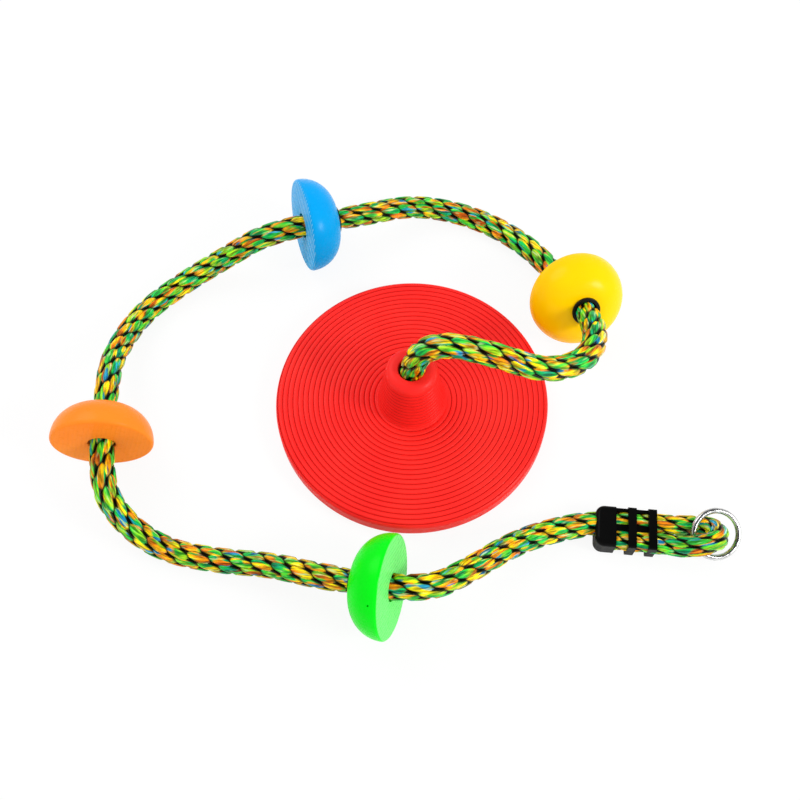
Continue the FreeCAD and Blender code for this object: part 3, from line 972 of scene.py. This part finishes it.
def map_face(obj, turn):
    """Lay a map over the flat face, in metres, with its first axis across the fine moulded lines."""
    layer = obj.data.uv_layers.get("face") or obj.data.uv_layers.new(name="face")
    for loop in obj.data.loops:
        at = obj.data.vertices[loop.vertex_index].co
        layer.data[loop.index].uv = (
            at.y * math.cos(turn) - at.x * math.sin(turn),
            at.x * math.cos(turn) + at.y * math.sin(turn),
        )
    flat = obj.data.attributes.new("flat", "FLOAT", "POINT")
    flat.data.foreach_set("value", [float(vertex.co.z < FACE_DEPTH) for vertex in obj.data.vertices])


def platform_pieces(materials):
    model = turned("platform_model", platform_profile(), 128)
    for joint in frame["joints"]:
        if not joint["name"].startswith("platform_"):
            continue
        body = joint["child"]
        colour = body.split("_")[1]
        axis = Vector(joint["axis"]).normalized()
        middle = Vector(joint["pos_m"])
        flat = middle - axis * (PLATFORM_T - COLLET_L / 2)
        across = Vector((0, 0, 1)).cross(axis).normalized()
        turn = Matrix((across, axis.cross(across), axis)).transposed().to_4x4()
        piece = model.copy()
        piece.data = model.data.copy()
        bpy.context.collection.objects.link(piece)
        cut_vent(piece, VENT_TURN[colour])
        map_face(piece, FACE_LINE_TURN[colour])
        place(piece, Matrix.Translation(flat) @ turn)
        smooth(piece)
        finish_piece(piece, body + "_moulded", body, materials[colour], [body])
    bpy.data.objects.remove(model)


# ---------------------------------------------------------------- pieces kept from the part
def dress_nodes(materials):
    for name, obj in frame["nodes"].items():
        if name.startswith("collet_"):
            paint(obj, materials["collet"])
        if name.startswith("clamp_"):
            paint(obj, materials["clamp"])
        if name in ("hanging_ring", "seat_washer"):
            paint(obj, materials["steel"])


# ---------------------------------------------------------------- floor and light
FLOOR_Z = -0.0009             # just under the lowest stitches of the rope
FLOOR_GLOW = 0.90             # share of plain white that the camera sees in the floor


def floor():
    deselect()
    bpy.ops.mesh.primitive_plane_add(size=12, location=(0, 0, FLOOR_Z))
    plane = bpy.context.object
    plane.name = "floor"
    material, nodes, links = new_material("floor_white")
    shader = shader_of(nodes)
    shader.inputs["Base Color"].default_value = (0.90, 0.90, 0.90, 1)
    shader.inputs["Roughness"].default_value = 0.9
    shader.inputs["Specular IOR Level"].default_value = 0.0
    paper = nodes.new("ShaderNodeEmission")
    paper.inputs["Color"].default_value = (1, 1, 1, 1)
    seen = nodes.new("ShaderNodeLightPath")
    mix = nodes.new("ShaderNodeMixShader")
    glow = maths(nodes, links, "MULTIPLY", seen.outputs["Is Camera Ray"], FLOOR_GLOW)
    links.new(glow, mix.inputs["Fac"])
    links.new(shader.outputs["BSDF"], mix.inputs[1])
    links.new(paper.outputs["Emission"], mix.inputs[2])
    links.new(mix.outputs["Shader"], nodes["Material Output"].inputs["Surface"])
    plane.data.materials.append(material)


def area_light(name, place_at, size, power):
    """A round lamp that points at the middle of the floor."""
    data = bpy.data.lights.new(name, "AREA")
    data.shape = "DISK"
    data.size = size
    data.energy = power
    obj = bpy.data.objects.new(name, data)
    bpy.context.collection.objects.link(obj)
    obj.location = place_at
    obj.rotation_euler = (-Vector(place_at)).to_track_quat("-Z", "Y").to_euler()


def studio():
    scene = bpy.context.scene
    scene.view_settings.view_transform = "Standard"
    world = bpy.data.worlds.new("studio")
    scene.world = world
    world.use_nodes = True
    nodes = world.node_tree.nodes
    links = world.node_tree.links
    sky = nodes["Background"]
    sky.inputs["Color"].default_value = (1, 1, 1, 1)
    sky.inputs["Strength"].default_value = 0.86
    room = nodes.new("ShaderNodeBackground")
    direction = nodes.new("ShaderNodeTexCoord")
    height = nodes.new("ShaderNodeSeparateXYZ")
    cards = ramp_node(nodes, [(0.00, grey(0.70)), (0.45, grey(0.60)), (0.75, grey(0.05))])
    links.new(direction.outputs["Generated"], height.inputs["Vector"])
    links.new(height.outputs["Z"], cards.inputs["Fac"])
    links.new(cards.outputs["Color"], room.inputs["Color"])
    white = nodes.new("ShaderNodeBackground")
    white.inputs["Color"].default_value = (1, 1, 1, 1)
    white.inputs["Strength"].default_value = 1.0
    paths = nodes.new("ShaderNodeLightPath")
    mirrored = nodes.new("ShaderNodeMixShader")
    links.new(paths.outputs["Is Glossy Ray"], mirrored.inputs["Fac"])
    links.new(sky.outputs["Background"], mirrored.inputs[1])
    links.new(room.outputs["Background"], mirrored.inputs[2])
    direct = nodes.new("ShaderNodeMixShader")
    links.new(paths.outputs["Is Camera Ray"], direct.inputs["Fac"])
    links.new(mirrored.outputs["Shader"], direct.inputs[1])
    links.new(white.outputs["Background"], direct.inputs[2])
    links.new(direct.outputs["Shader"], nodes["World Output"].inputs["Surface"])
    area_light("key", (1.6, -0.75, 1.2), 0.6, 20)
    area_light("fill", (-1.0, 1.0, 1.6), 1.4, 13)


# ---------------------------------------------------------------- the swing
def main():
    camera()
    rope = braided_fibre()
    rope_piece(rope, knot_piece(rope))
    materials = {
        "seat": moulded_plastic("seat_red", (0.95, 0.024, 0.018), (0.88, 0.014, 0.012), 0.36),
        "yellow": platform_plastic("platform_yellow", (1.0, 0.63, 0.0), (1.0, 0.57, 0.0), 0.22,
                                   0.0, (0.7, 0.3, 0.0), 0.15),
        "blue": platform_plastic("platform_blue", (0.0, 0.37, 0.82), (0.0, 0.32, 0.76), 0.24,
                                 0.0, (0.45, 0.85, 1.0), 0.34),
        "orange": platform_plastic("platform_orange", (1.0, 0.29, 0.030), (1.0, 0.24, 0.018), 0.28,
                                   0.0, (0.6, 0.12, 0.01), 0.05),
        "green": platform_plastic("platform_green", (0.0, 0.88, 0.012), (0.0, 0.80, 0.006), 0.26,
                                  0.17, (0.0, 0.26, 0.01), 0.24),
        "collet": moulded_plastic("collet_black", grey(0.008), grey(0.004), 0.30),
        "clamp": moulded_plastic("clamp_black", grey(0.004), grey(0.002), 0.20, 0.05),
        "steel": zinc_steel(),
    }
    seat_piece(materials["seat"])
    platform_pieces(materials)
    dress_nodes(materials)
    floor()
    studio()


main()
